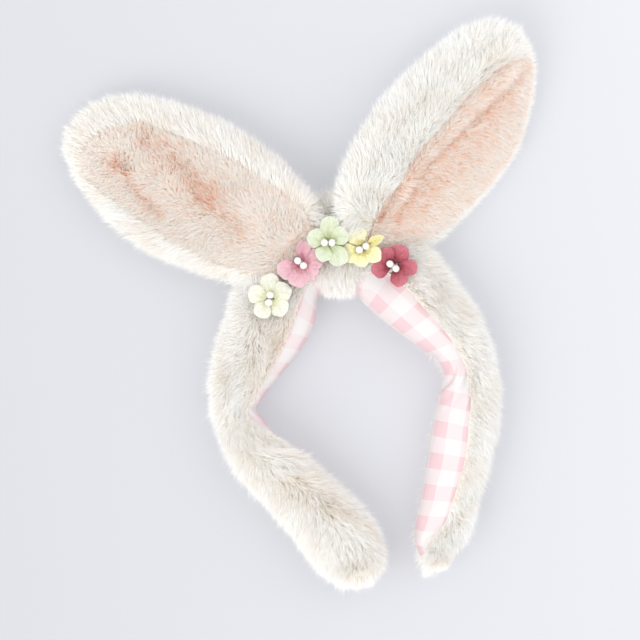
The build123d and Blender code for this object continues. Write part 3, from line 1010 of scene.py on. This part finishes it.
def make_ear(side, look):
    """Wadding, furry back and rim, and plush front of one ear, each in a base and a blade."""
    ear = Ear(side, look)
    body, along, left, on_front = ear.body()
    panel, panel_along, panel_left = ear.panel(lift=0.35)
    body_row = int(np.searchsorted(along[:, 0], PART_AT))
    panel_row = int(np.searchsorted(panel_along[:, 0], PART_AT))
    seed = look["seed"]

    for base, part, node in ((True, "base", "lower"), (False, "blade", "upper")):
        body_rows = (0, body_row) if base else (body_row, EAR_ROWS - 1)
        panel_rows = (0, panel_row) if base else (panel_row, EAR_ROWS - 1)
        pieces = [
            (body.part(*body_rows).moved(-2.0), "wadding", wadding, "ear_wadding", "wadding"),
            (body.part(*body_rows), "back_cloth", cream_knit, "cream_fur", "back"),
            (panel.part(*panel_rows), "front_cloth", pink_knit, "pink_plush", "front"),
        ]
        for surface, kind, material, slot, replaced in pieces:
            made = make_cloth(f"{side}_ear_{part}_{kind}", surface, [material])
            ear.bend(made, base)
            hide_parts(f"{side}_ear_{replaced}_{node}")

    rng = np.random.default_rng(seed)
    roots = body.roots(int(EAR_STRANDS * STRANDS), rng)
    s, t, front = roots.at(along), roots.at(left), roots.at(on_front.astype(float)) > 0.5
    cream = ~(front & ear.in_panel(s, t))
    sway = waves(roots.along, roots.around, 32, seed) * 0.45
    outward = np.sign(t) * np.where(front, 1, -1) * between(0, 6, np.abs(t)) * 0.75
    onward = 2 * between(-8, 8, s) - 1
    comb = roots.along_way * (0.8 * onward)[:, None] + roots.around_way * (outward + sway)[:, None]
    # painted shade: the cream fur is painted darker along the crease lines, and grows shorter there
    creases = np.clip(drawn(s, t, look["creases"]), 0, 1) * front
    tone = look["cream_tone"] + 0.16 * waves(roots.along, roots.around, 24, seed + 1)
    shade = tone + creases * 0.8
    reach = 1 - 0.3 * creases
    reach = reach * (1 + (look["right_rim"] - 1) * between(4, -12, t) * between(10, 30, s))
    for base in (True, False):
        chosen = cream & ((s < PART_AT) == base)
        name = f"{side}_ear_{'base' if base else 'blade'}_fur"
        made = grow(
            name, roots.only(chosen), EAR_FUR, comb[chosen], shade[chosen], 0.12, cream_pile,
            seed + 2 + base, reach=reach[chosen],
        )
        ear.bend(made, base)

    roots = panel.roots(int(PANEL_STRANDS * STRANDS), rng)
    s, t = roots.at(panel_along), roots.at(panel_left)
    brushed_and_shade = np.clip(drawn(s, t, look["brushed_and_shade"]), 0, 1.3)
    sway = waves(roots.along, roots.around, 30, seed + 5)
    comb = roots.along_way * ((0.35 + 0.3 * sway) * (2 * between(-13, -4, s) - 1))[:, None]
    comb = comb + roots.around_way * (0.7 * np.tanh(t / 14) + 0.3 * sway)[:, None]
    # the lines paint the pink darker: partly brushing of the pile, partly painted shade in folds and grooves
    shade = look["pink_tone"] + 0.1 * waves(roots.along, roots.around, 9, seed + 4) + 0.42 * brushed_and_shade
    mottle = 0.22 + 0.45 * brushed_and_shade
    for base in (True, False):
        chosen = (s < PART_AT) == base
        name = f"{side}_ear_{'base' if base else 'blade'}_plush"
        made = grow(
            name, roots.only(chosen), PINK_PILE, comb[chosen], shade[chosen], mottle[chosen],
            pink_pile, seed + 6 + base, reach=1 - 0.1 * brushed_and_shade[chosen],
            upright=0.3 * brushed_and_shade[chosen],
        )
        ear.bend(made, base)
    make_tab(ear)


TAB = {"along": -3.8, "half": (3.0, 12.5, 2.2), "up": -1.5}


def make_tab(ear):
    """Folded cloth tab that sews the ear to the band."""
    turns = np.linspace(0, 2 * pi, 24)[None, :]
    ends = np.linspace(-1, 1, 15)[:, None]
    taper = (1 - ends ** 6) ** 0.5
    half_along, half_left, half_up = TAB["half"]
    along = TAB["along"] + half_along * taper * np.cos(turns)
    up = TAB["up"] + half_up * taper * np.sin(turns)
    left = np.broadcast_to(ends * half_left, along.shape)
    surface = Surface(ear.world(along, left, up), closed=True, flip=True)
    tab = make_cloth(f"{ear.side}_ear_tab_cloth", surface, [cream_knit])
    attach(tab, frame_body(f"{ear.side}_ear_tab"))
    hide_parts(f"{ear.side}_ear_tab")


def frame_body(node):
    """The body that a CAD node rides on."""
    bodies = frame["record"]["behaviour"]["bodies"]
    return next(body for body, nodes in bodies.items() if node in nodes)


# ---- flowers ---------------------------------------------------------------------------
# pearls: the angle of the first one. petals: the angle, length and breadth of each, and how far its
# sides fold up. cup: how far they rise. colours: from the heart to the edge.
FLOWERS = {
    "cream": {
        "pearls": 80,
        "petals": [(88, 14.0, 0.40, 0.1), (30, 13.0, 0.44, 0.0), (-40, 12.2, 0.44, 0.1),
                   (-122, 11.8, 0.44, 0.0), (160, 12.2, 0.44, 0.1)],
        "cup": 2.2,
        "colours": [(212, 216, 158), (230, 232, 210), (238, 239, 228)],
    },
    "pink": {
        "pearls": -40,
        "petals": [(80, 12.8, 0.30, 0.9), (16, 12.8, 0.46, 0.1), (-44, 11.8, 0.42, 0.2),
                   (-98, 13.4, 0.44, 0.1), (-156, 13.6, 0.42, 0.2)],
        "cup": 3.2,
        "colours": [(172, 90, 106), (222, 170, 180), (232, 196, 202)],
    },
    "green": {
        "pearls": 0,
        "petals": [(84, 14.6, 0.38, 0.2), (30, 12.6, 0.42, 0.1), (-53, 14.8, 0.38, 0.2),
                   (-112, 10.6, 0.46, 0.1), (160, 12.0, 0.46, 0.1)],
        "cup": 2.4,
        "colours": [(176, 190, 130), (212, 222, 188), (226, 232, 212)],
    },
    "yellow": {
        "pearls": 28,
        "petals": [(114, 11.8, 0.48, 0.1), (-156, 12.0, 0.46, 0.1), (-98, 10.4, 0.46, 0.1),
                   (-32, 11.4, 0.42, 0.2), (30, 12.8, 0.20, 1.6)],
        "cup": 2.8,
        "colours": [(170, 152, 64), (246, 241, 180), (248, 246, 208)],
    },
    "burgundy": {
        "pearls": -38,
        "petals": [(63, 12.8, 0.44, 0.2), (122, 11.4, 0.44, 0.3), (-167, 11.8, 0.42, 0.2),
                   (-62, 12.0, 0.42, 0.3), (-5, 13.6, 0.34, 0.4)],
        "cup": 3.4,
        "colours": [(78, 22, 36), (174, 82, 94), (208, 126, 138)],
    },
}
PETAL_CLOTH = 0.35
PETAL_STACK = (0.0, 0.5, 0.1, 0.6, 0.35)    # how far up each petal is sewn
PEARL_RADIUS = 2.0
PEARL_SPREAD = 2.05
PEARL_RISE = 3.2
FILAMENT_RADIUS = 0.35


def petal_points(length, breadth, fold, cup, rng):
    """One petal pointing along +X from the flower's middle: a grid of rings round its own middle."""
    share = np.linspace(0.02, 1, 14)[:, None]
    turn = np.linspace(0, 2 * pi, 49)[None, :]
    tip = mound(np.minimum(turn, 2 * pi - turn), 0.35) * rng.uniform(-0.09, 0.06)
    first, second, third = rng.uniform(0, 2 * pi, 3)
    ruffle = 1 + share * (0.035 * np.sin(4 * turn + first) + 0.02 * np.sin(7 * turn + second))
    out = 0.56 + 0.44 * share * (1 + tip) * ruffle * np.cos(turn)
    narrowing = between(-0.15, 0.6, out) * 0.8 + 0.2
    side = share * ruffle * np.sin(turn) * narrowing
    height = cup * (1.7 * out - 1.15 * out ** 2)
    height = height + fold * length * 0.3 * np.abs(side) ** 1.4 * between(0.1, 0.5, out)
    height = height - 0.45 * mound(side, 0.14) * between(0, 0.3, out) * between(1, 0.6, out)
    frill = 0.6 * np.sin(3 * turn + second) + 0.35 * np.sin(8 * turn + third)
    height = height + frill * share ** 3 * out + rng.normal(0, 0.5) * side * out
    points = np.stack([length * out, length * breadth * side, height], axis=2)
    return points, np.stack([out, side * 0.5 + 0.5], axis=2)


def make_petals(colour, centre, height, look, material, seed):
    """Cupped cloth petals, sewn over each other at the middle."""
    rng = np.random.default_rng(seed)
    petals = []
    for number, (angle, length, breadth, fold) in enumerate(look["petals"]):
        turn = radians(angle)
        petal, marks = petal_points(length, breadth, fold, look["cup"], rng)
        turned = petal.copy()
        turned[..., 0] = petal[..., 0] * cos(turn) - petal[..., 1] * sin(turn) + centre[0]
        turned[..., 1] = petal[..., 0] * sin(turn) + petal[..., 1] * cos(turn) + centre[1]
        turned[..., 2] += height + PETAL_STACK[number]
        petals.append(Surface(turned, closed=True, marks=np.clip(marks, 0, 1)))
    made = join_grids(f"{colour}_flower", petals, [material])
    solid = made.modifiers.new("thickness", "SOLIDIFY")
    solid.thickness = PETAL_CLOTH * MM
    solid.offset = 0
    apply_modifiers(made)
    return made


def ball(centre, radius, rng):
    """A bead that isn't quite round."""
    turn = np.linspace(0, 2 * pi, 41)[None, :]
    tilt = np.linspace(-pi / 2 + 0.03, pi / 2 - 0.03, 24)[:, None]
    size = radius * (1 + 0.03 * np.sin(2 * turn + rng.uniform(0, 6)) * np.cos(tilt))
    x = centre[0] + size * np.cos(turn) * np.cos(tilt)
    y = centre[1] + size * np.sin(turn) * np.cos(tilt)
    z = centre[2] + np.broadcast_to(size, x.shape) * np.sin(tilt)
    return Surface(np.stack([x, y, z], axis=2), closed=True, flip=True)


def rod(start, end, bow, radius):
    """A thin round thread from one point to another, bowed sideways."""
    part = np.linspace(0, 1, 14)[:, None]
    line = start + (end - start) * part + bow * np.sin(part * pi)
    turn = np.linspace(0, 2 * pi, 13)[None, :]
    points = line[:, None, :] + np.zeros((14, 13, 3))
    points[..., 0] += radius * np.cos(turn)
    points[..., 1] += radius * np.sin(turn)
    return Surface(points, closed=True, flip=True)


def make_flower(colour, look, seed):
    """Petals, and two pearls on waxed threads that go down into the band."""
    low, high = (np.array(corner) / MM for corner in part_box(f"{colour}_flower_stamens"))
    centre = (low[:2] + high[:2]) / 2
    pearl_height = high[2] - PEARL_RADIUS
    petals_height = pearl_height - PEARL_RISE
    pearl_turn = look["pearls"]
    material = petal_material(f"{colour}_petal", *look["colours"])
    petals = make_petals(colour, centre, petals_height, look, material, seed)
    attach(petals, "crown")
    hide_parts(f"{colour}_flower_petals")

    rng = np.random.default_rng(seed + 1)
    beads, stalks = [], []
    for number, turned in enumerate((pearl_turn, pearl_turn + 180)):
        way = np.array([cos(radians(turned)), sin(radians(turned)), 0])
        top = np.array([*centre, pearl_height + 0.4 * number]) + way * PEARL_SPREAD
        foot = np.array([*centre, low[2]]) + way * PEARL_SPREAD * 0.6
        beads.append(ball(top, PEARL_RADIUS, rng))
        stalks.append(rod(foot, top, way * 0.5, FILAMENT_RADIUS))
    for piece in (
        join_grids(f"{colour}_pearls", beads, [pearl]),
        join_grids(f"{colour}_threads", stalks, [thread]),
    ):
        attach(piece, "crown")
        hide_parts(f"{colour}_flower_stamens")


# ---- putting it together ---------------------------------------------------------------
LEFT_BEND = [(-63.0, 5.0), (-64.0, -13.0)]
RIGHT_BEND = [(66.0, 19.0), (67.0, 1.0)]


def left_pucker(surface):
    """The left lining is pinched into a tuck at the crease."""
    near = mound(surface.points[..., 1] + 5, 7) * mound(surface.points[..., 0] + 50, 12)
    return near * 0.7 * np.sin(surface.along / 1.9)


def right_pucker(surface):
    """Wrinkles fan out from the crease on the right."""
    y = surface.points[..., 1]
    near = mound(y - 10, 13)
    slant = surface.along + 0.5 * surface.around
    ripple = np.sin(slant / 1.5) * 0.55 + np.sin(slant / 3.1 + 1) * 0.6
    soft = 0.25 * waves(surface.along, surface.around, 22, 7)
    return near * ripple + soft * (1 - near)


add_camera()
add_world(0.94, (0.985, 0.988, 1.0))
add_softbox("key", (-0.75, -0.7, 1.3), 11.0, 1.1, (1.0, 0.995, 0.985))
add_softbox("fill", (0.9, 0.6, 1.5), 6.0, 1.4, (0.99, 0.99, 1.0))
bpy.context.scene.view_settings.view_transform = "Standard"
bpy.context.scene.cycles.diffuse_bounces = 12
bpy.context.scene.cycles.transmission_bounces = 12
bpy.context.scene.cycles.max_bounces = 16

floor_corners = [(-6000, -6000, 0), (6000, -6000, 0), (6000, 6000, 0), (-6000, 6000, 0)]
floor = make_object("floor", floor_corners, [(0, 1, 2, 3)], [floor_material()], smooth=False)

make_sleeve("left", LEFT_SLEEVE, 10, LEFT_BEND, left_pucker)
make_sleeve("right", RIGHT_SLEEVE, 30, RIGHT_BEND, right_pucker)
make_wrap()
for ear_side, ear_look in EARS.items():
    make_ear(ear_side, ear_look)
for flower_number, (flower_colour, flower_look) in enumerate(FLOWERS.items()):
    make_flower(flower_colour, flower_look, 300 + 10 * flower_number)

CAD_MATERIALS = {"strip": spring_plastic, "strip_tip": tip_plastic, "wire": steel}
for node_name, node in frame["nodes"].items():
    if node_name.endswith("_strip"):
        finish = CAD_MATERIALS["strip"]
    elif node_name.endswith("_tip"):
        finish = CAD_MATERIALS["strip_tip"]
    elif "_wire_" in node_name:
        finish = CAD_MATERIALS["wire"]
    else:
        continue
    node.data.materials.clear()
    node.data.materials.append(finish)
